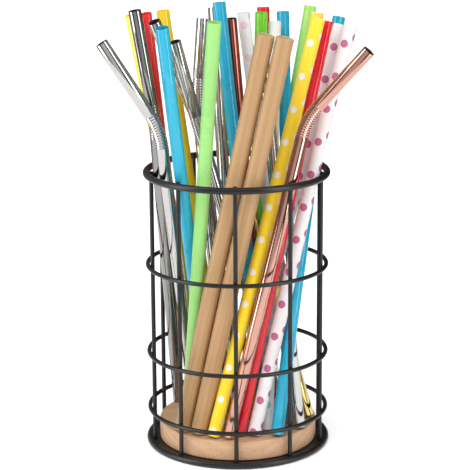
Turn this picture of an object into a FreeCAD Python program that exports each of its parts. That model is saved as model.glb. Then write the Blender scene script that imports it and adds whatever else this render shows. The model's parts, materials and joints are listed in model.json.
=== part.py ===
import FreeCAD, Part
import math
import os
from itertools import combinations
import Sketcher

# A wire straw holder: a round cage of welded wire on a wooden base, filled
# with loose drinking straws.  Millimetres, +Z up, floor at z = 0, origin on
# the cage's axis.  Angles round the cage count from the front (-Y) towards +X,
# and each size named a circle is the radius on which its pieces stand.

V = FreeCAD.Vector
UP = V(0, 0, 1)
doc = FreeCAD.newDocument("straw_holder")
sheet = doc.addObject("Spreadsheet::Sheet", "Sizes")
rows = []


def size(alias, value):
    """Give one driving dimension its own named cell."""
    rows.append(alias)
    sheet.set(f"A{len(rows)}", alias)
    sheet.set(f"B{len(rows)}", str(value))
    sheet.setAlias(f"B{len(rows)}", alias)


def read(alias):
    """Return a driving dimension as a plain number."""
    return float(sheet.get(alias))


# The driving dimensions of the cage and its base, and the clearances
SIZES = {
    "thick_wire": 3.3,
    "thin_wire": 2.1,
    "cage_height": 138.75,
    "hoop_upper_height": 91.3,
    "hoop_middle_height": 46.8,
    "hoop_lower_height": 17.9,
    "thick_weld": 0.65,
    "thin_weld": 0.15,
    "plate_height": 1.2,
    "plate_thickness": 1.0,
    "plate_weld": 0.2,
    "disc_radius": 39.0,
    "disc_clearance": 1.85,
    "disc_thickness": 9.8,
    "disc_round": 0.8,
    "screw_circle": 24.0,
    "screw_count": 3,
    "screw_shank": 2.5,
    "screw_length": 7.0,
    "screw_head": 5.0,
    "screw_head_height": 1.0,
    "screw_slot_width": 0.7,
    "screw_slot_depth": 0.5,
    "screw_hole_clearance": 0.4,
    "pilot_clearance": 0.1,
    "pilot_spare_depth": 0.8,
    "neck_length": 17.0,
    "straw_gap": 0.6,
    "cage_gap": 0.4,
    "seat_gap": 0.2,
    "foot_overhang": 0.8,
}
for alias, value in SIZES.items():
    size(alias, value)

UPRIGHT_ANGLES = (-149, -116, -79.5, -41, -1, 37, 76, 103, 139, 175)
for number, angle in enumerate(UPRIGHT_ANGLES, 1):
    size(f"upright_{number:02d}_angle", angle)

# Outside diameter and wall of each make of straw
MAKES = {
    "steel": (6.0, 0.5),
    "plastic": (6.2, 0.35),
    "thin_plastic": (5.2, 0.3),
    "paper": (6.2, 0.5),
    "wide_paper": (6.6, 0.5),
    "bamboo": (8.4, 1.0),
}
for make, (diameter, wall) in MAKES.items():
    size(f"{make}_diameter", diameter)
    size(f"{make}_wall", wall)
doc.recompute()


def plane(body, role):
    """Return one of a body's own origin planes or axes."""
    return [item for item in body.Origin.OriginFeatures if item.Role == role][0]


def new_body(label):
    """Start one sub-part."""
    body = doc.addObject("PartDesign::Body", label)
    body.Label = label
    return body


def new_sketch(body, name, role):
    """Start a sketch on one of the body's origin planes."""
    sketch = body.newObject("Sketcher::SketchObject", f"{body.Name}_{name}")
    sketch.AttachmentSupport = [(plane(body, role), "")]
    sketch.MapMode = "FlatFace"
    return sketch


def add_circle(sketch, radius, across=None):
    """Draw a circle round the origin, or that far across from it."""
    circle = sketch.addGeometry(Part.Circle(V(1, 0, 0), UP, 1))
    bind(sketch, Sketcher.Constraint("Radius", circle, 1), radius)
    if across is None:
        sketch.addConstraint(Sketcher.Constraint("Coincident", circle, 3, -1, 1))
    else:
        sketch.addConstraint(Sketcher.Constraint("PointOnObject", circle, 3, -1))
        bind(sketch, Sketcher.Constraint("DistanceX", -1, 1, circle, 3, 1), across)


def bind(sketch, constraint, rule):
    """Add a constraint whose value follows an expression."""
    index = sketch.addConstraint(constraint)
    sketch.setExpression(f"Constraints[{index}]", rule)


def pad(body, sketch, length):
    """Raise a sketch by a length that follows an expression."""
    feature = body.newObject("PartDesign::Pad", f"{sketch.Name}_pad")
    feature.Profile = sketch
    feature.setExpression("Length", length)
    return feature


# ---------------------------------------------------------------- wire cage
# Every ring is one closed wire.  The uprights stand just clear of the wooden
# disc.  The thick rim and foot rings and the three thin hoops all pass outside
# them and are welded to them, so each sinks a little into the wire it crosses.
INNER_CIRCLE = "(Sizes.disc_radius + Sizes.disc_clearance)"
UPRIGHT_CIRCLE = f"({INNER_CIRCLE} + Sizes.thin_wire / 2)"
THICK_RING = f"({INNER_CIRCLE} + Sizes.thin_wire - Sizes.thick_weld + Sizes.thick_wire / 2)"
THIN_RING = f"({INNER_CIRCLE} + Sizes.thin_wire * 3 / 2 - Sizes.thin_weld)"


def wire_ring(label, radius, wire, height):
    """Make one closed ring of round wire, centred on the cage's axis."""
    body = new_body(label)
    section = new_sketch(body, "section", "XZ_Plane")
    add_circle(section, f"{wire} / 2", radius)
    ring = body.newObject("PartDesign::Revolution", f"{label}_turn")
    ring.Profile = section
    ring.ReferenceAxis = (plane(body, "Z_Axis"), [""])
    ring.Angle = 360
    body.setExpression("Placement.Base.z", height)
    return body


parts = [
    wire_ring("rim_ring", THICK_RING, "Sizes.thick_wire", "Sizes.cage_height - Sizes.thick_wire / 2"),
    wire_ring("hoop_upper", THIN_RING, "Sizes.thin_wire", "Sizes.hoop_upper_height"),
    wire_ring("hoop_middle", THIN_RING, "Sizes.thin_wire", "Sizes.hoop_middle_height"),
    wire_ring("hoop_lower", THIN_RING, "Sizes.thin_wire", "Sizes.hoop_lower_height"),
    wire_ring("foot_ring", THICK_RING, "Sizes.thick_wire", "Sizes.thick_wire / 2"),
]

# Ten straight uprights stand on the base plate and end flush with the rim.
PLATE_TOP = "(Sizes.plate_height + Sizes.plate_thickness)"
for number in range(1, len(UPRIGHT_ANGLES) + 1):
    label = f"upright_{number:02d}"
    body = new_body(label)
    section = new_sketch(body, "section", "XY_Plane")
    add_circle(section, "Sizes.thin_wire / 2")
    pad(body, section, f"Sizes.cage_height - {PLATE_TOP}")
    angle = f"Sizes.{label}_angle * 1 deg"
    body.setExpression("Placement.Base.x", f"{UPRIGHT_CIRCLE} * sin({angle})")
    body.setExpression("Placement.Base.y", f"-{UPRIGHT_CIRCLE} * cos({angle})")
    body.setExpression("Placement.Base.z", PLATE_TOP)
    parts.append(body)


# --------------------------------------------------------------------- base
# A steel plate is welded inside the foot ring, and the wooden disc lies on
# it, held by three pan-head screws from beneath.
def bolt_holes(body, label, radius, depth):
    """Cut the three screw holes from the underside, upwards."""
    before = body.Shape.Volume
    hole = new_sketch(body, "hole", "XY_Plane")
    add_circle(hole, radius, "Sizes.screw_circle")
    pocket = body.newObject("PartDesign::Pocket", f"{label}_hole_cut")
    pocket.Profile = hole
    pocket.setExpression("Length", depth)
    pocket.Reversed = True
    doc.recompute()
    pattern = body.newObject("PartDesign::PolarPattern", f"{label}_holes")
    pattern.Originals = [pocket]
    pattern.Axis = (plane(body, "Z_Axis"), [""])
    pattern.Angle = 360
    pattern.setExpression("Occurrences", "Sizes.screw_count")
    body.Tip = pattern
    doc.recompute()
    assert body.Shape.Volume < before, f"{label}: the screw holes cut nothing"


plate = new_body("base_plate")
outline = new_sketch(plate, "outline", "XY_Plane")
add_circle(outline, f"{THICK_RING} - Sizes.thick_wire / 2 + Sizes.plate_weld")
pad(plate, outline, "Sizes.plate_thickness")
plate.setExpression("Placement.Base.z", "Sizes.plate_height")
doc.recompute()
bolt_holes(plate, "base_plate", "(Sizes.screw_shank + Sizes.screw_hole_clearance) / 2",
           "Sizes.plate_thickness")
parts.append(plate)

disc = new_body("wood_base")
outline = new_sketch(disc, "outline", "XY_Plane")
add_circle(outline, "Sizes.disc_radius")
raised = pad(disc, outline, "Sizes.disc_thickness")
doc.recompute()
rims = [f"Edge{n}" for n, edge in enumerate(raised.Shape.Edges, 1) if len(edge.Vertexes) == 1]
rounding = disc.newObject("PartDesign::Fillet", "wood_base_round")
rounding.Base = (raised, rims)
rounding.setExpression("Radius", "Sizes.disc_round")
disc.setExpression("Placement.Base.z", PLATE_TOP)
doc.recompute()
BITE = "(Sizes.screw_length - Sizes.plate_thickness)"
bolt_holes(disc, "wood_base", "(Sizes.screw_shank + Sizes.pilot_clearance) / 2",
           f"{BITE} + Sizes.pilot_spare_depth")
parts.append(disc)


def add_solid(kind, name, **rules):
    """Make a Part primitive whose properties follow expressions."""
    item = doc.addObject(kind, name)
    for key, rule in rules.items():
        item.setExpression(key.replace("_", "."), rule)
    return item


def add_pair(kind, name, base, tool):
    """Join or cut two solids."""
    item = doc.addObject(kind, name)
    item.Base = base
    item.Tool = tool
    return item


# One screw stands with its head's crown at z = 0 and its shank upwards.
head = add_solid("Part::Cylinder", "screw_head_blank", Radius="Sizes.screw_head / 2",
                 Height="Sizes.screw_head_height")
slot = add_solid("Part::Box", "screw_slot", Length="Sizes.screw_head * 2",
                 Width="Sizes.screw_slot_width", Height="Sizes.screw_slot_depth",
                 Placement_Base_x="-Sizes.screw_head", Placement_Base_y="-Sizes.screw_slot_width / 2")
shank = add_solid("Part::Cylinder", "screw_shank_blank", Radius="Sizes.screw_shank / 2",
                  Height="Sizes.screw_length", Placement_Base_z="Sizes.screw_head_height")
slotted = add_pair("Part::Cut", "screw_head_slotted", head, slot)
screw = add_pair("Part::Fuse", "screw", slotted, shank)
doc.recompute()

screws = doc.addObject("Part::Compound", "base_screws")
screws.Label = "base_screws"
copies = []
for number in range(int(read("screw_count"))):
    copy = doc.addObject("Part::Compound", f"screw_{number + 1}")
    copy.Links = [screw]
    turn = f"{number} * 360 deg / Sizes.screw_count"
    copy.setExpression("Placement.Base.x", f"Sizes.screw_circle * cos({turn})")
    copy.setExpression("Placement.Base.y", f"Sizes.screw_circle * sin({turn})")
    copy.setExpression("Placement.Base.z", "Sizes.plate_height - Sizes.screw_head_height")
    copies.append(copy)
screws.Links = copies
parts.append(screws)


# ------------------------------------------------------------------- straws
# Thirty loose straws stand on the disc and lean out over the rim.  Each has
# the place of its foot, in hundredths of the disc's radius, and the place
# where it crosses the rim, in hundredths of the uprights' circle: across
# (+X) first, then back (+Y).
STRAWS = {
    "bent_steel_straw_1": ("steel", 207, (-59, 57), (-80, -45)),
    "yellow_straw_1": ("plastic", 205.5, (-37, 51), (-86, 12)),
    "bent_steel_straw_2": ("steel", 211.5, (-79, 53), (-90, -25)),
    "thin_red_straw_1": ("thin_plastic", 203.5, (-61, 73), (-84, 31)),
    "bent_steel_straw_3": ("steel", 206, (-10, 14), (-38, 8)),
    "yellow_straw_2": ("plastic", 204.5, (-21, 59), (-59, 28)),
    "blue_straw_1": ("plastic", 205.5, (-33, 0), (-62, -66)),
    "steel_straw_1": ("steel", 200, (58, 36), (-27, -22)),
    "bent_steel_straw_4": ("steel", 196, (-10, 94), (-38, 72)),
    "steel_straw_3": ("steel", 207, (2, -49), (-16, 44)),
    "green_paper_straw": ("wide_paper", 204.5, (-63, -35), (-38, -68)),
    "blue_straw_2": ("plastic", 208.5, (37, -29), (3, -19)),
    "copper_straw": ("steel", 199.5, (36, 42), (10, 22)),
    "pastel_dot_straw_1": ("paper", 202, (67, 60), (24, 36)),
    "red_straw": ("plastic", 200, (44, 58), (35, 85)),
    "green_straw": ("plastic", 199, (22, 75), (34, 58)),
    "pastel_dot_straw_2": ("paper", 200, (39, -63), (40, 18)),
    "blue_straw_3": ("plastic", 203, (68, -32), (58, 42)),
    "bamboo_straw_1": ("bamboo", 200, (-69, -58), (-3, -73)),
    "bamboo_straw_2": ("bamboo", 199, (-50, -69), (18, -82)),
    "lime_straw": ("plastic", 204, (5, 42), (56, 66)),
    "yellow_dot_straw_1": ("paper", 203, (19, -15), (66, 20)),
    "yellow_dot_straw_2": ("wide_paper", 207, (-33, -82), (48, -52)),
    "thin_red_straw_2": ("thin_plastic", 204, (1, -77), (66, -37)),
    "blue_straw_4": ("plastic", 205, (49, -79), (86, 1)),
    "magenta_dot_straw_1": ("paper", 204, (-7, -65), (74, -11)),
    "magenta_dot_straw_2": ("wide_paper", 203, (20, -80), (88, -30)),
    "bent_rose_gold_straw": ("steel", 203, (-11, -88), (59, -62)),
    "steel_straw_2": ("steel", 183, (78, -58), (39, 0)),
    "gold_steel_straw": ("steel", 190, (93, -12), (8, 60)),
}
# A bent straw also has the height of its neck along the straw, the bend in
# degrees, and the way that it bends, counted round the straw from +X.  One
# paper straw has no neck but has warped there.
BENDS = {
    "steel_straw_1": (153, 4, -65),
    "magenta_dot_straw_2": (150, 3, 30),
    "blue_straw_4": (140, 3, 0),
    "bent_steel_straw_1": (158, 30, 156),
    "bent_steel_straw_2": (158, 12, 120),
    "bent_steel_straw_3": (148, 22, -135),
    "bent_steel_straw_4": (158, 15, 50),
    "bent_rose_gold_straw": (159, 30, -25),
}
for name, (make, length, foot, rim) in STRAWS.items():
    size(f"{name}_length", length)
    for place, (across, back) in (("foot", foot), ("rim", rim)):
        size(f"{name}_{place}_across", across)
        size(f"{name}_{place}_back", back)
for name, (neck, bend, turn) in BENDS.items():
    size(f"{name}_neck", neck)
    size(f"{name}_bend", bend)
    size(f"{name}_turn", turn)
doc.recompute()

SEAT_HEIGHT = (read("plate_height") + read("plate_thickness") + read("disc_thickness")
               + read("seat_gap"))
RIM_HEIGHT = read("cage_height") - read("thick_wire") / 2
CAGE_INSIDE = read("disc_radius") + read("disc_clearance")
POST_CIRCLE = CAGE_INSIDE + read("thin_wire") / 2
UPRIGHTS = []
for number in range(1, len(UPRIGHT_ANGLES) + 1):
    angle = math.radians(read(f"upright_{number:02d}_angle"))
    post = V(math.sin(angle), -math.cos(angle), 0) * POST_CIRCLE
    UPRIGHTS.append((post, post + UP * read("cage_height")))
RING_INSIDE = CAGE_INSIDE + read("thin_wire")
LIMITS = [(RIM_HEIGHT, RING_INSIDE - read("thick_weld"))]
for hoop in ("hoop_upper", "hoop_middle", "hoop_lower"):
    LIMITS.append((read(f"{hoop}_height"), RING_INSIDE - read("thin_weld")))
LIFT_STEPS = 4
SETTLE_ROUNDS = 60
SETTLED = 0.01


class Straw:
    """One straw: its make, and the line on which it stands and slides."""

    def __init__(self, name, make):
        self.name = name
        self.radius = read(f"{make}_diameter") / 2
        self.wall = f"Sizes.{make}_wall"
        self.outside = f"Sizes.{make}_diameter / 2"
        self.length = f"Sizes.{name}_length"
        self.long = read(f"{name}_length")
        self.foot = self.place("foot", read("disc_radius"), SEAT_HEIGHT)
        self.rim = self.place("rim", POST_CIRCLE, RIM_HEIGHT)

    def place(self, level, reach, height):
        """Read one of the straw's two places from the sheet."""
        across = read(f"{self.name}_{level}_across") * reach / 100
        back = read(f"{self.name}_{level}_back") * reach / 100
        return V(across, back, height)

    def axis(self):
        return (self.rim - self.foot).normalize()

    def base(self):
        """Centre of the foot, whose lowest edge just clears the disc."""
        axis = self.axis()
        lean = math.acos(axis.z)
        return self.foot + axis * (self.radius * math.sin(lean) / axis.z)

    def turned(self):
        """Rotation from upright to the straw's own line."""
        return FreeCAD.Rotation(UP, self.axis())

    def course(self):
        """Centre line of the arm above the neck, for a bent straw."""
        return []

    def sweep(self):
        """Stretches that the straw covers from rest to fully lifted."""
        axis, base, lift = self.axis(), self.base(), self.lift()
        stretches = [(base, base + axis * (self.upright_length() + lift))]
        for step in range(LIFT_STEPS):
            rise = axis * (lift * step / (LIFT_STEPS - 1))
            course = [point + rise for point in self.course()]
            stretches += list(zip(course, course[1:]))
        return stretches

    def upright_length(self):
        return self.long

    def lift(self):
        """Travel along the straw's own line that takes its foot over the rim."""
        return (read("cage_height") + read("thick_wire") - SEAT_HEIGHT) / self.axis().z

    def share(self, point):
        """How far up a point lies between the foot's and the rim's level."""
        return (point.z - self.foot.z) / (self.rim.z - self.foot.z)

    def shift(self, share, move):
        """Move the straw sideways by a push at one height."""
        self.foot += move * (1 - share)
        self.rim += move * share

    def build(self):
        """Draw two circles and raise them to the straw's length."""
        body = new_body(self.name)
        section = self.ring(body)
        pad(body, section, self.length)
        return body

    def ring(self, body):
        section = new_sketch(body, "section", "XY_Plane")
        add_circle(section, self.outside)
        add_circle(section, f"{self.outside} - {self.wall}")
        return section


class BentStraw(Straw):
    """A straw with a bend near its top, at a ridged neck."""

    def __init__(self, name, make):
        super().__init__(name, make)
        self.bend = math.radians(read(f"{name}_bend"))
        self.turn = read(f"{name}_turn")
        self.curve = read("neck_length") / self.bend
        self.below = read(f"{name}_neck") - self.curve * math.tan(self.bend / 2)
        self.arm = self.long - self.below - read("neck_length")

    def turned(self):
        return super().turned() * FreeCAD.Rotation(UP, self.turn)

    def upright_length(self):
        return self.below

    def course(self):
        """Points along the neck's arc and the arm."""
        points = []
        for angle in (0, self.bend / 2, self.bend):
            points.append(V(self.curve * (1 - math.cos(angle)), 0,
                            self.below + self.curve * math.sin(angle)))
        points.append(points[-1] + V(math.sin(self.bend), 0, math.cos(self.bend)) * self.arm)
        return [self.base() + self.turned().multVec(point) for point in points]

    def build(self):
        """Sweep two circles along a line, an arc and a line."""
        body = new_body(self.name)
        path = new_sketch(body, "path", "XZ_Plane")
        start, corner = V(0, 0, 0), V(0, self.below, 0)
        centre = V(self.curve, self.below, 0)
        end = centre + V(-math.cos(self.bend), math.sin(self.bend), 0) * self.curve
        tip = end + V(math.sin(self.bend), math.cos(self.bend), 0) * self.arm
        lower = path.addGeometry(Part.LineSegment(start, corner))
        neck = path.addGeometry(Part.ArcOfCircle(Part.Circle(centre, UP, self.curve),
                                                 math.pi - self.bend, math.pi))
        upper = path.addGeometry(Part.LineSegment(end, tip))
        path.addConstraint(Sketcher.Constraint("Coincident", lower, 1, -1, 1))
        path.addConstraint(Sketcher.Constraint("Vertical", lower))
        path.addConstraint(Sketcher.Constraint("Tangent", lower, 2, neck, 2))
        path.addConstraint(Sketcher.Constraint("Tangent", neck, 1, upper, 1))
        bend = f"(Sizes.{self.name}_bend * 1 deg)"
        curve = f"(Sizes.neck_length / (Sizes.{self.name}_bend * pi / 180))"
        below = f"(Sizes.{self.name}_neck - {curve} * tan({bend} / 2))"
        bind(path, Sketcher.Constraint("Radius", neck, self.curve), curve)
        bind(path, Sketcher.Constraint("Distance", lower, self.below), below)
        bind(path, Sketcher.Constraint("Angle", upper, math.pi / 2 - self.bend), f"90 deg - {bend}")
        bind(path, Sketcher.Constraint("Distance", upper, self.arm),
             f"{self.length} - {below} - Sizes.neck_length")
        pipe = body.newObject("PartDesign::AdditivePipe", f"{self.name}_pipe")
        pipe.Profile = self.ring(body)
        pipe.Spine = (path, ["Edge1", "Edge2", "Edge3"])
        return body


def closest(first, second):
    """Nearest points of two stretches, as vectors."""
    (p, p_end), (q, q_end) = first, second
    along, other, gap = p_end - p, q_end - q, p - q
    a, e, f = along.dot(along), other.dot(other), other.dot(gap)
    c, b = along.dot(gap), along.dot(other)
    spread = a * e - b * b
    near = min(max((b * f - c * e) / spread, 0), 1) if spread else 0
    far = min(max((b * near + f) / e, 0), 1)
    near = min(max((b * far - c) / a, 0), 1)
    return p + along * near, q + other * far


def keep_apart(straw, stretch, other, other_stretch, reach):
    """Push a straw, and its neighbour unless that is fixed, to the reach between them."""
    near, far = closest(stretch, other_stretch)
    apart = near - far
    lack = reach - apart.Length
    if lack <= 0:
        return 0
    flat = V(apart.x, apart.y, 0) * (1 / apart.Length)
    share = straw.share(near)
    weight = (1 - share) ** 2 + share ** 2
    if other is not None:
        other_share = other.share(far)
        weight += (1 - other_share) ** 2 + other_share ** 2
    push = flat * (lack / (weight * flat.dot(flat)))
    straw.shift(share, push)
    if other is not None:
        other.shift(other_share, push * -1)
    return lack


def keep_inside(straw, height, limit):
    """Pull a straw in where it would cross a circle about the cage's axis."""
    share = (height - straw.foot.z) / (straw.rim.z - straw.foot.z)
    place = straw.foot + (straw.rim - straw.foot) * share
    out = V(place.x, place.y, 0)
    excess = out.Length - limit
    if excess <= 0:
        return 0
    straw.shift(share, out * (-excess / out.Length / ((1 - share) ** 2 + share ** 2)))
    return excess


def settle(straws):
    """Ease the straws apart until each clears its neighbours and the cage."""
    gap, cage = read("straw_gap"), read("cage_gap")
    pairs = list(combinations(straws, 2))
    for _ in range(SETTLE_ROUNDS):
        worst = 0
        sweeps = {straw.name: straw.sweep() for straw in straws}
        for one, other in pairs:
            for stretch in sweeps[one.name]:
                for other_stretch in sweeps[other.name]:
                    worst = max(worst, keep_apart(one, stretch, other, other_stretch,
                                                  one.radius + other.radius + gap))
        for straw in straws:
            for post in UPRIGHTS:
                reach = straw.radius + read("thin_wire") / 2 + cage
                worst = max(worst, keep_apart(straw, straw.sweep()[0], None, post, reach))
            spread = straw.radius / straw.axis().z
            for height, limit in LIMITS:
                worst = max(worst, keep_inside(straw, height, limit - spread - cage))
            worst = max(worst, keep_inside(straw, SEAT_HEIGHT, read("disc_radius") - straw.radius
                                           + read("foot_overhang")))
        if worst < SETTLED:
            break


straws = []
for name, (make, length, foot, rim) in STRAWS.items():
    kind = BentStraw if name in BENDS else Straw
    straws.append(kind(name, make))
settle(straws)
for straw in straws:
    body = straw.build()
    body.Placement = FreeCAD.Placement(straw.base(), straw.turned())
    parts.append(body)

# ------------------------------------------------------------------- export
doc.recompute()
for item in doc.Objects:
    faults = {"Invalid", "Error"} & set(item.State)
    assert not faults, f"{item.Label}: {item.State}"
for part in parts:
    assert not part.Shape.isNull() and part.Shape.isValid(), f"{part.Label}: bad shape"
os.makedirs("parts", exist_ok=True)
for part in parts:
    part.Shape.exportStep(f"parts/{part.Label}.step")
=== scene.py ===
import json
import math

import bpy
from mathutils import Matrix, Vector


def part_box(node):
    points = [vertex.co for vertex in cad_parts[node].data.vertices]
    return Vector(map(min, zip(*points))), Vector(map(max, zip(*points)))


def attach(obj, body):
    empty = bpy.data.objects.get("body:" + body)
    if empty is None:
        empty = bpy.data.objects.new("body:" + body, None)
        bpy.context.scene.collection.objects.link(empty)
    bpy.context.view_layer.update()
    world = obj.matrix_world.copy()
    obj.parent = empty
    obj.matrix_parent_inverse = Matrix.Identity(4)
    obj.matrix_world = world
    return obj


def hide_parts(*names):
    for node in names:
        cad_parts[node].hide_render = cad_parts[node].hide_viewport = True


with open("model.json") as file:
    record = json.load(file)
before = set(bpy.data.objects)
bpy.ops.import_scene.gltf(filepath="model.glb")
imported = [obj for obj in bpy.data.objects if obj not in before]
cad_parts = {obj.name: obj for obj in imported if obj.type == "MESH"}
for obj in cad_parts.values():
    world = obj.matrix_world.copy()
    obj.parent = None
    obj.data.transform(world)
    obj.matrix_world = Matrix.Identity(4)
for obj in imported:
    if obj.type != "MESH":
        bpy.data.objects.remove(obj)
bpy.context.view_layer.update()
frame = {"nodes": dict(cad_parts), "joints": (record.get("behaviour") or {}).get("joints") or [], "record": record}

# ---------------------------------------------------------------- wire cage
# Five rings of round steel wire pass outside ten straight uprights: a thick
# rim, a thick foot and three thin hoops.  Every crossing is spot-welded, and
# the whole cage with its base plate has a satin black powder coat.


class Socket:
    """A node's output.  Arithmetic on it adds Math nodes to the same tree."""

    def __init__(self, tree, output):
        self.tree = tree
        self.output = output

    def math(self, operation, *others):
        """A Math node of this value and any others."""
        values = dict(enumerate((self, *others)))
        return self.tree.add("ShaderNodeMath", {"operation": operation}, values)

    def __add__(self, other):
        return self.math("ADD", other)

    __radd__ = __add__

    def __mul__(self, other):
        return self.math("MULTIPLY", other)

    __rmul__ = __mul__

    def __sub__(self, other):
        return self.math("SUBTRACT", other)

    def __rsub__(self, other):
        return self * -1 + other

    def __truediv__(self, other):
        return self.math("DIVIDE", other)

    def __gt__(self, other):
        return self.math("GREATER_THAN", other)

    def __lt__(self, other):
        return self.math("LESS_THAN", other)

    def part(self, name):
        """Another output of the same node."""
        return Socket(self.tree, self.output.node.outputs[name])


class Nodes:
    """A node tree, written as expressions."""

    def __init__(self, tree):
        self.tree = tree

    def add(self, kind, settings=None, values=None, output=0):
        """Add a node: its settings first, then the values or links of its sockets."""
        node = self.tree.nodes.new(kind)
        for key, value in (settings or {}).items():
            if key == "stops":
                ramp = node.color_ramp
                while len(ramp.elements) < len(value):
                    ramp.elements.new(0.5)
                for element, (position, colour) in zip(ramp.elements, value):
                    element.position = position
                    element.color = (*colour, 1)
            else:
                setattr(node, key, value)
        for key, value in (values or {}).items():
            if isinstance(value, Socket):
                self.tree.links.new(value.output, node.inputs[key])
            else:
                node.inputs[key].default_value = value
        return Socket(self, node.outputs[output] if node.outputs else None)

    def place(self):
        """The shaded point of the piece, in metres."""
        return self.add("ShaderNodeTexCoord").part("Object")

    def noise(self, vector, scale, detail):
        """Even noise from 0 to 1, its scale in features per metre."""
        return self.add("ShaderNodeTexNoise", {"normalize": True},
                        {"Vector": vector, "Scale": scale, "Detail": detail})

    def streaks(self, vector, scales, detail):
        """Noise with its own scale along each axis."""
        stretched = self.add("ShaderNodeMapping", None, {"Vector": vector, "Scale": scales})
        return self.noise(stretched, 1, detail)

    def fade(self, value, start, end):
        """0 at start and before it, 1 at end and past it, and even between them."""
        return self.add("ShaderNodeMapRange", None,
                        {"Value": value, "From Min": start, "From Max": end})

    def mix(self, factor, first, second, blend="MIX"):
        """Mix two colours."""
        first = first if isinstance(first, Socket) else (*first, 1)
        second = second if isinstance(second, Socket) else (*second, 1)
        return self.add("ShaderNodeMix", {"data_type": "RGBA", "blend_type": blend},
                        {0: factor, 6: first, 7: second}, output=2)

    def bump(self, height, distance, strength):
        """A normal from a height of 0 to 1 that stands for a distance in metres."""
        return self.add("ShaderNodeBump", None,
                        {"Height": height, "Distance": distance, "Strength": strength})


def material(name, build, **constants):
    """Make a material: constants on the shader, then what its nodes vary."""
    made = bpy.data.materials.new(name)
    made.use_nodes = True
    shader = made.node_tree.nodes["Principled BSDF"]
    for key, value in constants.items():
        socket = shader.inputs[key.replace("_", " ")]
        socket.default_value = (*value, 1) if isinstance(value, tuple) else value
    for key, value in build(Nodes(made.node_tree)).items():
        made.node_tree.links.new(value.output, shader.inputs[key.replace("_", " ")])
    return made


def coat(made, *nodes):
    """Give CAD nodes a material."""
    for node in nodes:
        piece = frame["nodes"][node]
        piece.data.materials.clear()
        piece.data.materials.append(made)


COAT_BLACK = (0.003, 0.003, 0.003)
COAT_WORN = (0.010, 0.009, 0.009)
COAT_ROUGHNESS = 0.28
CLOUD_SCALE = 60
PEEL_SCALE = 1400
PEEL_DEPTH = 0.00012


def powder_coat(nodes):
    """Fine orange-peel skin, slightly uneven in depth of black."""
    cloud = nodes.noise(nodes.place(), CLOUD_SCALE, 3)
    peel = nodes.noise(nodes.place(), PEEL_SCALE, 2)
    return {"Base_Color": nodes.mix(cloud, COAT_BLACK, COAT_WORN),
            "Roughness": cloud * 0.1 + peel * 0.06 + COAT_ROUGHNESS,
            "Normal": nodes.bump(peel, PEEL_DEPTH, 0.5)}


black_coat = material("Black powder coat", powder_coat, Specular_IOR_Level=0.4)
RINGS = ("rim_ring", "hoop_upper", "hoop_middle", "hoop_lower", "foot_ring")
UPRIGHTS = [node for node in frame["nodes"] if node.startswith("upright_")]
coat(black_coat, *RINGS, *UPRIGHTS, "base_plate")


def geometry_tree(name, inputs, build):
    """Build a node tree that takes geometry and the named inputs and gives geometry."""
    tree = bpy.data.node_groups.new(name, "GeometryNodeTree")
    tree.interface.new_socket("Geometry", in_out="INPUT", socket_type="NodeSocketGeometry")
    tree.interface.new_socket("Geometry", in_out="OUTPUT", socket_type="NodeSocketGeometry")
    for key, kind in inputs.items():
        tree.interface.new_socket(key, in_out="INPUT", socket_type=f"NodeSocket{kind}")
    nodes = Nodes(tree)
    start = nodes.add("NodeGroupInput")
    result = build(nodes, start)
    result = nodes.add("GeometryNodeRealizeInstances", None, {"Geometry": result})
    result = nodes.add("GeometryNodeSetMaterial", None,
                       {"Geometry": result, "Material": start.part("Material")})
    nodes.add("NodeGroupOutput", None, {"Geometry": result})
    return tree


def grow(name, tree, data, **inputs):
    """Run a node tree on a curve or mesh and keep the result as one plain piece."""
    seed = bpy.data.objects.new(f"{name}_seed", data)
    bpy.context.scene.collection.objects.link(seed)
    modifier = seed.modifiers.new("Nodes", "NODES")
    modifier.node_group = tree
    for item in tree.interface.items_tree:
        key = item.name.replace(" ", "_")
        if item.in_out == "INPUT" and key in inputs:
            modifier[item.identifier] = inputs[key]
    depsgraph = bpy.context.evaluated_depsgraph_get()
    mesh = bpy.data.meshes.new_from_object(seed.evaluated_get(depsgraph))
    bpy.data.objects.remove(seed)
    piece = bpy.data.objects.new(name, mesh)
    bpy.context.scene.collection.objects.link(piece)
    return piece


def weld_nodes(nodes, start):
    """A squashed bead of weld metal at each point, facing away from the cage's axis."""
    bead = nodes.add("GeometryNodeMeshIcoSphere", None, {"Radius": 1.0, "Subdivisions": 2})
    place = nodes.add("GeometryNodeInputPosition")
    outward = nodes.add("ShaderNodeVectorMath", {"operation": "MULTIPLY"},
                        {0: place, 1: (1.0, 1.0, 0.0)})
    turned = nodes.add("FunctionNodeAlignRotationToVector", {"axis": "X"}, {"Vector": outward})
    size = nodes.add("ShaderNodeCombineXYZ", None,
                     {"X": start.part("Depth"), "Y": start.part("Width"), "Z": start.part("Height")})
    beads = nodes.add("GeometryNodeInstanceOnPoints", None,
                      {"Points": start, "Instance": bead, "Rotation": turned, "Scale": size})
    return nodes.add("GeometryNodeSetShadeSmooth", None, {"Geometry": beads})


weld_tree = geometry_tree("Weld beads", {"Depth": "Float", "Width": "Float", "Height": "Float",
                                         "Material": "Material"}, weld_nodes)


def middle(node):
    """Centre and half-size of a CAD node's box."""
    low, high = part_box(node)
    return (low + high) / 2, (high - low) / 2


def crossings(ring):
    """Points where a ring crosses the uprights, halfway between the two wires."""
    centre, half = middle(ring)
    ring_inner = half.x - 2 * half.z
    points = []
    for node in UPRIGHTS:
        post, post_half = middle(node)
        flat = Vector((post.x, post.y, 0))
        post_outer = flat.length + post_half.x
        points.append(flat.normalized() * ((post_outer + ring_inner) / 2) + Vector((0, 0, centre.z)))
    mesh = bpy.data.meshes.new(f"{ring}_welds")
    mesh.from_pydata(points, [], [])
    return mesh


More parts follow.
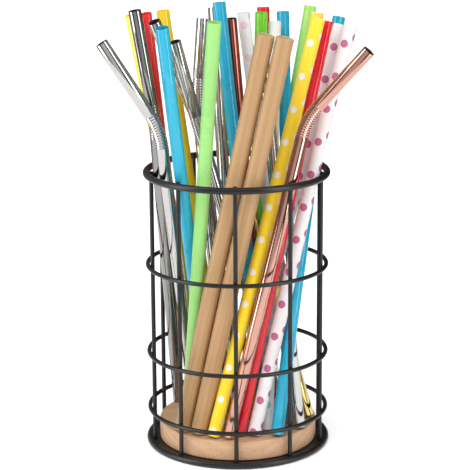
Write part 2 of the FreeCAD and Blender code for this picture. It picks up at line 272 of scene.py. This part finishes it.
WELD_DEPTH = 0.0009
WELD_WIDTH = 0.0012
WELD_HEIGHT = 0.85  # times the radius of the ring's wire

for ring in RINGS:
    wire_radius = middle(ring)[1].z
    beads = grow(f"{ring}_welds", weld_tree, crossings(ring), Depth=WELD_DEPTH, Width=WELD_WIDTH,
                 Height=wire_radius * WELD_HEIGHT, Material=black_coat)
    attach(beads, "holder")

# ------------------------------------------------------------- wooden base
# A turned disc of light oak, edge rounded and oiled matt, lies on the cage's
# steel base plate.  Three zinc-plated pan-head screws hold it from beneath.

WOOD_PALE = (0.70, 0.43, 0.25)
WOOD_DARK = (0.55, 0.32, 0.17)
WOOD_PORE = (0.36, 0.20, 0.10)
WOOD_ROUGHNESS = 0.5
WANDER_SCALES = (6, 40, 25)
WANDER_REACH = 0.008
RING_STRETCH = (0.6, 1, 1.6)
RING_SCALE = 62.0
PORE_SCALES = (110, 1900, 1500)
PORE_DEPTH = 0.0001
BLOTCH_SCALE = 45


def oiled_oak(nodes):
    """Wandering growth rings cut lengthwise, and fine dark pores."""
    place = nodes.place()
    wander = nodes.streaks(place, WANDER_SCALES, 2).part("Color")
    shift = nodes.add("ShaderNodeVectorMath", {"operation": "SCALE"}, {0: wander, "Scale": WANDER_REACH})
    shifted = nodes.add("ShaderNodeVectorMath", {"operation": "ADD"}, {0: place, 1: shift})
    stretched = nodes.add("ShaderNodeMapping", None, {"Vector": shifted, "Scale": RING_STRETCH})
    rings = nodes.add("ShaderNodeTexWave", {"wave_type": "RINGS", "rings_direction": "X"},
                      {"Vector": stretched, "Scale": RING_SCALE, "Distortion": 2.5, "Detail": 3.0,
                       "Detail Scale": 1.6}).part("Fac")
    fleck = nodes.fade(nodes.streaks(place, PORE_SCALES, 2), 0.56, 0.70)
    blotch = nodes.noise(place, BLOTCH_SCALE, 2)
    base = nodes.mix(rings * 0.35 + blotch * 0.35, WOOD_PALE, WOOD_DARK)
    return {"Base_Color": nodes.mix(fleck * 0.5, base, WOOD_PORE),
            "Roughness": fleck * 0.15 + rings * 0.08 + WOOD_ROUGHNESS,
            "Normal": nodes.bump(rings * 0.3 - fleck, PORE_DEPTH, 0.5)}


coat(material("Oiled oak", oiled_oak), "wood_base")

ZINC_BLUE = (0.62, 0.63, 0.66)
ZINC_YELLOW = (0.78, 0.77, 0.72)
ZINC_ROUGHNESS = 0.18
ZINC_CLOUD_SCALE = 900


def zinc_plate(nodes):
    """Blue and yellow clouds of a thin passivated plating."""
    cloud = nodes.noise(nodes.place(), ZINC_CLOUD_SCALE, 3)
    return {"Base_Color": nodes.mix(cloud, ZINC_BLUE, ZINC_YELLOW),
            "Roughness": cloud * 0.2 + ZINC_ROUGHNESS}


coat(material("Bright zinc", zinc_plate, Metallic=1.0), "base_screws")

# ----------------------------------------------------------- drinking straws
# Thirty loose tubes of steel, plastic, paper and bamboo.  Each stands on its
# cut foot inside the cage, leans on the rim and its neighbours, and can be
# lifted out along its own line.  Some have a ridged neck near the top.

NECK_LENGTH = 0.017
NECK_STEP = 0.000125
# A straight straw's neck: how far its middle is below the tip, and its length
STRAIGHT_NECKS = {"blue_straw_1": (0.0485, 0.012), "blue_straw_2": (0.0465, 0.012),
                  "green_paper_straw": (0.053, 0.017)}
LEAST_BEND = 0.01  # radians
SAME_WAY = 0.99999
# A straw's other end is among this many of the faces farthest from its foot
FAR_FACES = 12
finish_of = {row["node"]: row["material_slot"] for row in frame["record"]["subparts"]}
axis_of = {joint["child"]: Vector(joint["axis"]) for joint in frame["joints"]}


def straws_of(slot):
    """The straws that have one finish."""
    return [node for node in axis_of if finish_of[node] == slot]


def flat_end(faces, way):
    """The faces of one cut end, and its centre."""
    found = [face for face in faces if face.normal.dot(way) > SAME_WAY]
    area = sum(face.area for face in found)
    centre = sum((face.center * face.area for face in found), Vector()) / area
    return found, centre


class Line:
    """A straw's centre line, outer radius and wall, read from its CAD node."""

    def __init__(self, node):
        mesh = frame["nodes"][node].data
        self.axis = axis_of[node]
        faces = list(mesh.polygons)
        end, self.foot = flat_end(faces, -self.axis)
        reach = [(mesh.vertices[v].co - self.foot).length for face in end for v in face.vertices]
        self.radius = max(reach)
        self.wall = max(reach) - min(reach)
        far = sorted(faces, key=lambda face: -(face.center - self.foot).length)[:FAR_FACES]
        top = max((flat_end(far, face.normal)[0] for face in far), key=len)
        self.aim = top[0].normal.copy()
        self.tip = flat_end(faces, self.aim)[1]
        self.bend = self.axis.angle(self.aim)
        self.drop, self.neck = STRAIGHT_NECKS.get(node, (0, NECK_LENGTH))

    def points(self):
        """Points of the line, close together along the neck, and where the neck starts."""
        count = round(self.neck / NECK_STEP)
        if self.bend < LEAST_BEND:
            length = (self.tip - self.foot).length
            if not self.drop:
                return [self.foot, self.tip], length
            below = length - self.drop - self.neck / 2
            neck = [self.foot + self.axis * (below + NECK_STEP * number) for number in range(count + 1)]
            return [self.foot, *neck, self.tip], below
        arc_radius = self.neck / self.bend
        reach = arc_radius * math.tan(self.bend / 2)
        across = (self.aim - self.axis * self.aim.dot(self.axis)).normalized()
        gap = self.tip - self.foot
        below = gap.dot(self.axis) - gap.dot(across) / math.tan(self.bend) - reach
        arc_start = self.foot + self.axis * below
        arc = []
        for number in range(count + 1):
            angle = self.bend * number / count
            arc.append(arc_start + self.axis * (arc_radius * math.sin(angle))
                       + across * (arc_radius * (1 - math.cos(angle))))
        return [self.foot, *arc, self.tip], below


MERGE_REACH = 0.000001


def tube_nodes(nodes, start):
    """Sweep a circle along the line, grooved at the neck, with its own unrolled map."""
    along = nodes.add("GeometryNodeSplineParameter").part("Length")
    caught = nodes.add("GeometryNodeStoreNamedAttribute", {"data_type": "FLOAT", "domain": "POINT"},
                       {"Geometry": start, "Name": "along", "Value": along})
    inside = (along > start.part("Neck Start")) * (along < start.part("Neck End"))
    wave = ((along - start.part("Neck Start")) * start.part("Ridges per Metre") * math.tau).math("COSINE")
    radius = start.part("Radius") - inside * start.part("Ridge Depth") * (0.5 - wave * 0.5)
    ring = nodes.add("GeometryNodeCurveArc", {"mode": "RADIUS"},
                     {"Resolution": start.part("Sides"), "Radius": 1.0, "Sweep Angle": math.tau})
    turn = nodes.add("GeometryNodeStoreNamedAttribute", {"data_type": "FLOAT", "domain": "POINT"},
                     {"Geometry": ring, "Name": "turn",
                      "Value": nodes.add("GeometryNodeSplineParameter").part("Factor")})
    tube = nodes.add("GeometryNodeCurveToMesh", None,
                     {"Curve": caught, "Profile Curve": turn, "Scale": radius})
    around = nodes.add("GeometryNodeInputNamedAttribute", {"data_type": "FLOAT"}, {"Name": "turn"})
    length = nodes.add("GeometryNodeInputNamedAttribute", {"data_type": "FLOAT"}, {"Name": "along"})
    flat = nodes.add("ShaderNodeCombineXYZ", None,
                     {"X": around * start.part("Radius") * math.tau, "Y": length})
    tube = nodes.add("GeometryNodeStoreNamedAttribute", {"data_type": "FLOAT2", "domain": "CORNER"},
                     {"Geometry": tube, "Name": "unrolled", "Value": flat})
    tube = nodes.add("GeometryNodeMergeByDistance", None, {"Geometry": tube, "Distance": MERGE_REACH})
    return nodes.add("GeometryNodeSetShadeSmooth", None, {"Geometry": tube})


tube_tree = geometry_tree("Straw tube", {
    "Radius": "Float", "Sides": "Int", "Neck Start": "Float", "Neck End": "Float",
    "Ridges per Metre": "Float", "Ridge Depth": "Float", "Material": "Material"}, tube_nodes)
SIDES = 40
RIM_ROUND = 0.3  # of the wall
RIM_ANGLE = 70


def straw(node, outside, inside, ridges=0.0, depth=0.0, rim=1):
    """Make one straw: swept shell, real wall, rounded rims of the inner or outer finish."""
    line = Line(node)
    points, neck = line.points()
    curve = bpy.data.curves.new(f"{node}_line", "CURVE")
    curve.dimensions = "3D"
    spline = curve.splines.new("POLY")
    spline.points.add(len(points) - 1)
    for point, place in zip(spline.points, points):
        point.co = (*place, 1)
    piece = grow(f"{node}_tube", tube_tree, curve, Radius=line.radius, Sides=SIDES + 1, Neck_Start=neck,
                 Neck_End=neck + line.neck, Ridges_per_Metre=ridges, Ridge_Depth=depth,
                 Material=outside)
    piece.data.materials.append(inside)
    wall = piece.modifiers.new("Wall", "SOLIDIFY")
    wall.thickness = line.wall
    wall.offset = -1
    wall.material_offset = 1
    wall.material_offset_rim = rim
    edge = piece.modifiers.new("Rim", "BEVEL")
    edge.width = line.wall * RIM_ROUND
    edge.segments = 2
    edge.limit_method = "ANGLE"
    edge.angle_limit = math.radians(RIM_ANGLE)
    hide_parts(node)
    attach(piece, node)


def unrolled(nodes):
    """Metres round the straw and along it, as one vector."""
    return nodes.add("ShaderNodeUVMap", {"uv_map": "unrolled"})


# Steel straws: drawn stainless tube, mirror polished, some tinted by a vapour
# coating.  The bent ones have rolled ridges at the neck.

STEEL_RIDGES = 750
STEEL_RIDGE_DEPTH = 0.00022
DRAWN_SCALES = (2600, 18, 1)
DRAWN_DEPTH = 0.00001
# The lighter and the darker colour of the metal, and its least roughness
STEEL_TINTS = {
    "polished_steel": ((0.60, 0.585, 0.57), (0.49, 0.475, 0.46), 0.08),
    "gunmetal_steel": ((0.34, 0.33, 0.32), (0.24, 0.235, 0.235), 0.07),
    "copper_steel": ((0.40, 0.13, 0.10), (0.29, 0.08, 0.06), 0.10),
    "rose_gold_steel": ((0.67, 0.37, 0.30), (0.55, 0.285, 0.225), 0.12),
    "gold_steel": ((0.74, 0.60, 0.24), (0.58, 0.44, 0.15), 0.08),
}
STEEL_CLOUD_SCALE = 55
# Painted shade: the inside of the tube is coloured near black
BORE_SHADE_GREY = (0.030, 0.028, 0.027)
BORE_SHADE_DARK = (0.012, 0.011, 0.011)
BORE_ROUGHNESS = 0.5
BORE_SCALES = (1500, 40, 1)


def polished(light, dark, haze):
    """Fine lengthwise drawing lines under the polish."""
    def build(nodes):
        lines = nodes.streaks(unrolled(nodes), DRAWN_SCALES, 2)
        cloud = nodes.noise(unrolled(nodes), STEEL_CLOUD_SCALE, 2)
        return {"Base_Color": nodes.mix(cloud * 0.7 + lines * 0.3, light, dark),
                "Roughness": lines * 0.05 + cloud * 0.04 + haze,
                "Normal": nodes.bump(lines, DRAWN_DEPTH, 0.2)}
    return build


def unlit_bore(nodes):
    """The unpolished inside of the tube, dull, and painted dark as the shade inside it."""
    lines = nodes.streaks(unrolled(nodes), BORE_SCALES, 2)
    return {"Base_Color": nodes.mix(lines, BORE_SHADE_GREY, BORE_SHADE_DARK),
            "Roughness": lines * 0.2 + BORE_ROUGHNESS}


# The bore's near-black colour is painted shade
bore = material("Steel bore painted dark", unlit_bore, Metallic=0.6)
for slot, (light, dark, haze) in STEEL_TINTS.items():
    shine = material(slot, polished(light, dark, haze), Metallic=1.0)
    for node in straws_of(slot):
        straw(node, shine, bore, ridges=STEEL_RIDGES, depth=STEEL_RIDGE_DEPTH, rim=0)

# Plastic straws: extruded polypropylene with a thin glossy wall, slightly
# milky, so that some light spreads in it.

PLASTIC_RIDGES = 900
PLASTIC_RIDGE_DEPTH = 0.00008
PLASTIC_ROUGHNESS = 0.16
DIE_LINE_SCALES = (900, 9, 1)
DIE_LINE_DEPTH = 0.00003
# Scales of the lengthwise bands of painted highlight
HIGHLIGHT_BAND_SCALES = (270, 4, 1)
# The lighter colour of the painted highlight bands, and the darker colour of the wall
PLASTIC_TINTS = {
    "pale_yellow_plastic": ((0.94, 0.86, 0.16), (0.88, 0.70, 0.03)),
    "yellow_plastic": ((0.96, 0.72, 0.05), (0.90, 0.56, 0.0)),
    "red_plastic": ((0.84, 0.05, 0.07), (0.66, 0.0, 0.01)),
    "blue_plastic": ((0.05, 0.49, 0.68), (0.0, 0.30, 0.49)),
    "green_plastic": ((0.24, 0.68, 0.06), (0.10, 0.54, 0.01)),
    "lime_plastic": ((0.54, 0.80, 0.34), (0.30, 0.68, 0.10)),
}


def extruded(light, dark):
    """Lighter lengthwise bands of painted highlight, and faint die lines."""
    def build(nodes):
        lines = nodes.streaks(unrolled(nodes), DIE_LINE_SCALES, 2)
        # Painted highlight: lengthwise bands of the lighter colour
        bands = nodes.fade(nodes.streaks(unrolled(nodes), HIGHLIGHT_BAND_SCALES, 1), 0.36, 0.62)
        return {"Base_Color": nodes.mix(lines * 0.25 + bands * 0.75, light, dark),
                "Roughness": bands * 0.08 + lines * 0.08 + PLASTIC_ROUGHNESS,
                "Normal": nodes.bump(lines, DIE_LINE_DEPTH, 0.3)}
    return build


for slot, (light, dark) in PLASTIC_TINTS.items():
    gloss = material(slot, extruded(light, dark), Subsurface_Weight=0.25, Subsurface_Scale=0.002,
                     Specular_IOR_Level=0.0, Coat_Weight=0.8, Coat_Roughness=0.05)
    for node in straws_of(slot):
        straw(node, gloss, gloss, ridges=PLASTIC_RIDGES, depth=PLASTIC_RIDGE_DEPTH)

# Paper straws: three plies wound in a spiral and glued.  The outer ply is
# printed with dots or dyed through.

PAPER_RIDGES = 850
PAPER_RIDGE_DEPTH = 0.0001
PAPER_ROUGHNESS = 0.5
FIBRE_SCALES = (1500, 350, 1)
FIBRE_DEPTH = 0.00006
STREAK_SCALES = (1400, 14, 1)
PAPER_CLOUD_SCALE = 120
SEAM_RISE = 0.021
SEAM_HALF_WIDTH = 0.012  # of the rise
DOT_RISE = 0.016
DOTS_PER_TURN = 4
DOT_EDGE = 0.00008
# Where each straw's dots start: parts of a turn round it, and of a rise along it
DOT_STARTS = {"magenta_dot_straw_1": (0.90, 0.05), "magenta_dot_straw_2": (0.86, 0.088),
              "yellow_dot_straw_2": (0.88, 0.188), "pastel_dot_straw_1": (0.41, 0.275)}
# The ground, its darker shade, the two inks that the dots take in turn, and a dot's width
PAPERS = {
    "light_green_paper": ((0.34, 0.70, 0.20), (0.28, 0.64, 0.16), (), 0.0),
    "dotted_white_paper": ((0.80, 0.81, 0.80), (0.74, 0.73, 0.74),
                           ((0.78, 0.56, 0.66), (0.22, 0.60, 0.50)), 0.0036),
    "magenta_dot_paper": ((0.84, 0.82, 0.82), (0.79, 0.75, 0.76),
                          ((0.50, 0.07, 0.22), (0.40, 0.05, 0.16)), 0.0038),
    "yellow_dot_paper": ((1.0, 0.72, 0.01), (0.96, 0.64, 0.0),
                         ((0.86, 0.84, 0.82), (0.84, 0.80, 0.80)), 0.0035),
}
BARE_PAPER = ((0.82, 0.80, 0.76), (0.74, 0.71, 0.66))
DYED_PAPER = ((0.32, 0.66, 0.19), (0.27, 0.60, 0.15))
PLAIN_RADIUS = 0.0033


def dots(nodes, place, across, radius, start):
    """1 inside each printed dot of the spiral, which dot it is, and how far out a point lies."""
    first_turn, first_height = start
    flat = nodes.add("ShaderNodeSeparateXYZ", None, {"Vector": place})
    turn = flat.part("X") / (math.tau * radius) - first_turn
    height = flat.part("Y") / DOT_RISE - first_height
    wound = (height - turn + 0.5).math("FLOOR")
    position = (wound + turn) * DOTS_PER_TURN
    number = (position + 0.5).math("FLOOR")
    aside = (position - number) * (math.tau * radius / DOTS_PER_TURN)
    up = (height * DOTS_PER_TURN - number) * (DOT_RISE / DOTS_PER_TURN)
    distance = (aside * aside + up * up).math("SQRT")
    inside = nodes.fade(distance, across / 2 + DOT_EDGE, across / 2 - DOT_EDGE)
    return inside, number, distance / across * 2


def seam(nodes, place, radius):
    """The butt seam of the outer ply, one narrow dark line that winds up the straw."""
    flat = nodes.add("ShaderNodeSeparateXYZ", None, {"Vector": place})
    wind = flat.part("Y") / SEAM_RISE + flat.part("X") / (math.tau * radius)
    edge = (wind.math("FRACT") - 0.5).math("ABSOLUTE")
    return nodes.fade(edge, SEAM_HALF_WIDTH, 0.0)


def paper(ground, shade, inks=(), across=0.0, radius=PLAIN_RADIUS, start=(0, 0)):
    """Soft fibres and a spiral seam, with printed dots where there are inks."""
    def build(nodes):
        place = unrolled(nodes)
        fibre = nodes.streaks(place, FIBRE_SCALES, 3)
        streak = nodes.streaks(place, STREAK_SCALES, 2)
        cloud = nodes.noise(place, PAPER_CLOUD_SCALE, 2)
        colour = nodes.mix(streak * 0.3 + cloud * 0.7, ground, shade)
        if inks:
            inside, number, outward = dots(nodes, place, across, radius, start)
            ink = nodes.mix((number * 0.5).math("FRACT") * 2, inks[0], inks[1])
            pooled = outward.math("POWER", 4) * 0.35
            ink = nodes.mix(pooled, ink, shade, blend="MULTIPLY")
            colour = nodes.mix(inside * 0.94, colour, ink)
        line = seam(nodes, place, radius)
        colour = nodes.mix(line * 0.25, colour, shade, blend="MULTIPLY")
        return {"Base_Color": colour, "Roughness": fibre * 0.15 + PAPER_ROUGHNESS,
                "Normal": nodes.bump(fibre * 0.4 - line, FIBRE_DEPTH, 0.5)}
    return build


bare_paper = material("Bare paper", paper(*BARE_PAPER))
dyed_paper = material("Dyed through", paper(*DYED_PAPER))
for slot, (ground, shade, inks, across) in PAPERS.items():
    inner_ply = bare_paper if inks else dyed_paper
    for node in straws_of(slot):
        wrap = paper(ground, shade, inks, across, Line(node).radius, DOT_STARTS.get(node, (0, 0)))
        outer_ply = material(f"{node} {slot}", wrap, Sheen_Weight=0.15)
        if node in STRAIGHT_NECKS:
            straw(node, outer_ply, inner_ply, ridges=PAPER_RIDGES, depth=PAPER_RIDGE_DEPTH)
        else:
            straw(node, outer_ply, inner_ply)

# Bamboo straws: thin canes with the green skin sanded off, left plain, whose
# fibres run the whole length.

CANE_TAN = (0.52, 0.27, 0.11)
CANE_OLIVE = (0.42, 0.27, 0.12)
CANE_STRAND = (0.29, 0.15, 0.06)
CANE_FIBRE = (0.58, 0.37, 0.18)
CUT_PALE = (0.66, 0.47, 0.26)
CUT_DARK = (0.46, 0.30, 0.15)
CANE_ROUGHNESS = 0.38
CUT_ROUGHNESS = 0.6
CANE_DEPTH = 0.00005
CANE_FIBRE_SCALES = (2600, 12, 1)
CANE_STRAND_SCALES = (900, 6, 1)
CANE_BAND_SCALES = (230, 9, 1)
CUT_FIBRE_SCALE = 2500


def sanded_cane(nodes):
    """Fine fibres over dark strands and broad bands of tan and olive."""
    place = unrolled(nodes)
    fibres = nodes.streaks(place, CANE_FIBRE_SCALES, 2)
    strands = nodes.streaks(place, CANE_STRAND_SCALES, 2)
    bands = nodes.streaks(place, CANE_BAND_SCALES, 1)
    base = nodes.mix(bands, CANE_TAN, CANE_OLIVE)
    base = nodes.mix(nodes.fade(strands, 0.4, 0.7) * 0.7, base, CANE_STRAND)
    return {"Base_Color": nodes.mix(fibres * 0.3, base, CANE_FIBRE),
            "Roughness": fibres * 0.2 + CANE_ROUGHNESS,
            "Normal": nodes.bump(fibres * 0.5 + strands, CANE_DEPTH, 0.5)}


def cut_cane(nodes):
    """The cut ends and the bore, speckled by the ends of the fibres."""
    fibres = nodes.noise(nodes.place(), CUT_FIBRE_SCALE, 2)
    return {"Base_Color": nodes.mix(fibres, CUT_PALE, CUT_DARK),
            "Roughness": fibres * 0.2 + CUT_ROUGHNESS,
            "Normal": nodes.bump(fibres, CANE_DEPTH, 0.5)}


cane = material("Sanded bamboo", sanded_cane)
cane_end = material("Cut bamboo", cut_cane)
for node in straws_of("bamboo"):
    straw(node, cane, cane_end)

# ----------------------------------------------------------- floor and light
# A white acrylic table top in a white studio, brightest above and in front,
# with two soft lamps and a long lens that looks down on the straws.

FLOOR_RADIUS = 3.0
FLOOR_STEP = 6
FLOOR_WHITE = (0.94, 0.94, 0.94)
FLOOR_DIMMER = (0.92, 0.92, 0.92)
FLOOR_CLOUD_SCALE = 14
FLOOR_ROUGHNESS = 0.9
FLOOR_GLOW = 0.3


def circle(radius, step):
    """Points of a circle, one for every so many degrees."""
    angles = [math.radians(degrees) for degrees in range(0, 360, step)]
    return [(radius * math.cos(angle), radius * math.sin(angle)) for angle in angles]


def put(name, data):
    """Put a mesh, lamp or camera into the scene."""
    made = bpy.data.objects.new(name, data)
    bpy.context.scene.collection.objects.link(made)
    return made


def pale_top(nodes):
    """White with the faintest clouds."""
    cloud = nodes.noise(nodes.place(), FLOOR_CLOUD_SCALE, 2)
    return {"Base_Color": nodes.mix(cloud, FLOOR_WHITE, FLOOR_DIMMER)}


floor_mesh = bpy.data.meshes.new("floor")
edge_points = [(x, y, 0) for x, y in circle(FLOOR_RADIUS, FLOOR_STEP)]
floor_mesh.from_pydata(edge_points, [], [tuple(range(len(edge_points)))])
floor_mesh.materials.append(material("White acrylic", pale_top, Roughness=FLOOR_ROUGHNESS,
                                     Emission_Strength=FLOOR_GLOW, Emission_Color=(1.0, 1.0, 1.0)))
floor = put("floor", floor_mesh)

# Tall black flags and two strip lights stand in a ring round the table.  Only
# the shine of a surface shows them, so they draw its bright and dark edges.

FLAGS_RADIUS = 0.4
FLAGS_HEIGHT = 1.0
FLAGS_STEP = 5
STRIP_STRENGTH = 6.0
# Degrees from the front towards the right, and the brightness there
FLAGS = ((-180, 0.03), (-150, 0.03), (-140, 0.07), (-85, 0.07), (-79, 1.0), (-60, 1.0), (-54, 0.03),
         (-34, 0.03), (-26, 0.11), (12, 0.13), (18, 0.01), (38, 0.01), (44, 1.0), (58, 1.0), (64, 0.05),
         (115, 0.04), (125, 0.01), (180, 0.01))


def strip_lights(nodes):
    """Brightness by the angle round the table."""
    place = nodes.add("ShaderNodeSeparateXYZ", None, {"Vector": nodes.place()})
    angle = place.part("X").math("ARCTAN2", place.part("Y") * -1)
    stops = [((degrees + 180) / 360, (level, level, level)) for degrees, level in FLAGS]
    return {"Emission_Color": nodes.add("ShaderNodeValToRGB", {"stops": stops},
                                        {"Fac": angle / math.tau + 0.5})}


flags_mesh = bpy.data.meshes.new("flags")
ring_points = circle(FLAGS_RADIUS, FLAGS_STEP)
steps = len(ring_points)
flags_mesh.from_pydata([(x, y, z) for z in (0, FLAGS_HEIGHT) for x, y in ring_points], [],
                       [(n, (n + 1) % steps, steps + (n + 1) % steps, steps + n) for n in range(steps)])
flags_mesh.materials.append(material("Strip lights", strip_lights, Base_Color=(0.0, 0.0, 0.0),
                                     Specular_IOR_Level=0.0, Emission_Strength=STRIP_STRENGTH))
flags = put("flags", flags_mesh)
for way in ("camera", "diffuse", "transmission", "shadow"):
    setattr(flags, f"visible_{way}", False)

SKY_DIM = 0.18
SKY_BRIGHT = 1.02
SKY_CENTRE = (-0.25, -0.55, 0.80)
# Where the change starts and ends, as the cosine of the angle from the centre
SKY_START = -0.8
SKY_END = 0.9


def studio_sky(nodes):
    """A smooth change from the dim back to the bright front and top."""
    place = nodes.add("ShaderNodeTexCoord").part("Generated")
    facing = nodes.add("ShaderNodeVectorMath", {"operation": "DOT_PRODUCT"},
                       {0: place, 1: SKY_CENTRE}, output="Value")
    return nodes.add("ShaderNodeMapRange", {"interpolation_type": "SMOOTHSTEP"},
                     {"Value": facing, "From Min": SKY_START, "From Max": SKY_END,
                      "To Min": SKY_DIM, "To Max": SKY_BRIGHT})


world = bpy.data.worlds.new("Studio")
bpy.context.scene.world = world
world.use_nodes = True
sky = world.node_tree.nodes["Background"]
sky.inputs["Color"].default_value = (1.0, 1.0, 1.0, 1)
world.node_tree.links.new(studio_sky(Nodes(world.node_tree)).output, sky.inputs["Strength"])


def lamp(name, azimuth, height, strength, spread):
    """A broad soft lamp, far away.  Its azimuth counts from the front towards the right."""
    light = bpy.data.lights.new(name, "SUN")
    light.energy = strength
    light.angle = math.radians(spread)
    stand = put(name, light)
    stand.rotation_euler = (math.radians(90 - height), 0, math.radians(azimuth))
    stand.visible_glossy = False


lamp("key", azimuth=-32, height=50, strength=1.1, spread=40)
lamp("fill", azimuth=40, height=35, strength=0.3, spread=50)

# The lens's place in metres, and its turns in degrees
CAMERA_PLACE = (0, -0.8595, 0.32293)
CAMERA_YAW = 0.061
CAMERA_DOWN = 14.222
CAMERA_ROLL = -0.302
camera_data = bpy.data.cameras.new("camera")
camera_data.sensor_width = 36
camera_data.lens = 138.49
camera_data.clip_end = 20
camera = put("camera", camera_data)
camera.matrix_world = (Matrix.Translation(CAMERA_PLACE)
                       @ Matrix.Rotation(math.radians(CAMERA_YAW), 4, "Z")
                       @ Matrix.Rotation(math.radians(90 - CAMERA_DOWN), 4, "X")
                       @ Matrix.Rotation(math.radians(CAMERA_ROLL), 4, "Z"))
bpy.context.scene.camera = camera
bpy.context.scene.view_settings.view_transform = "Standard"
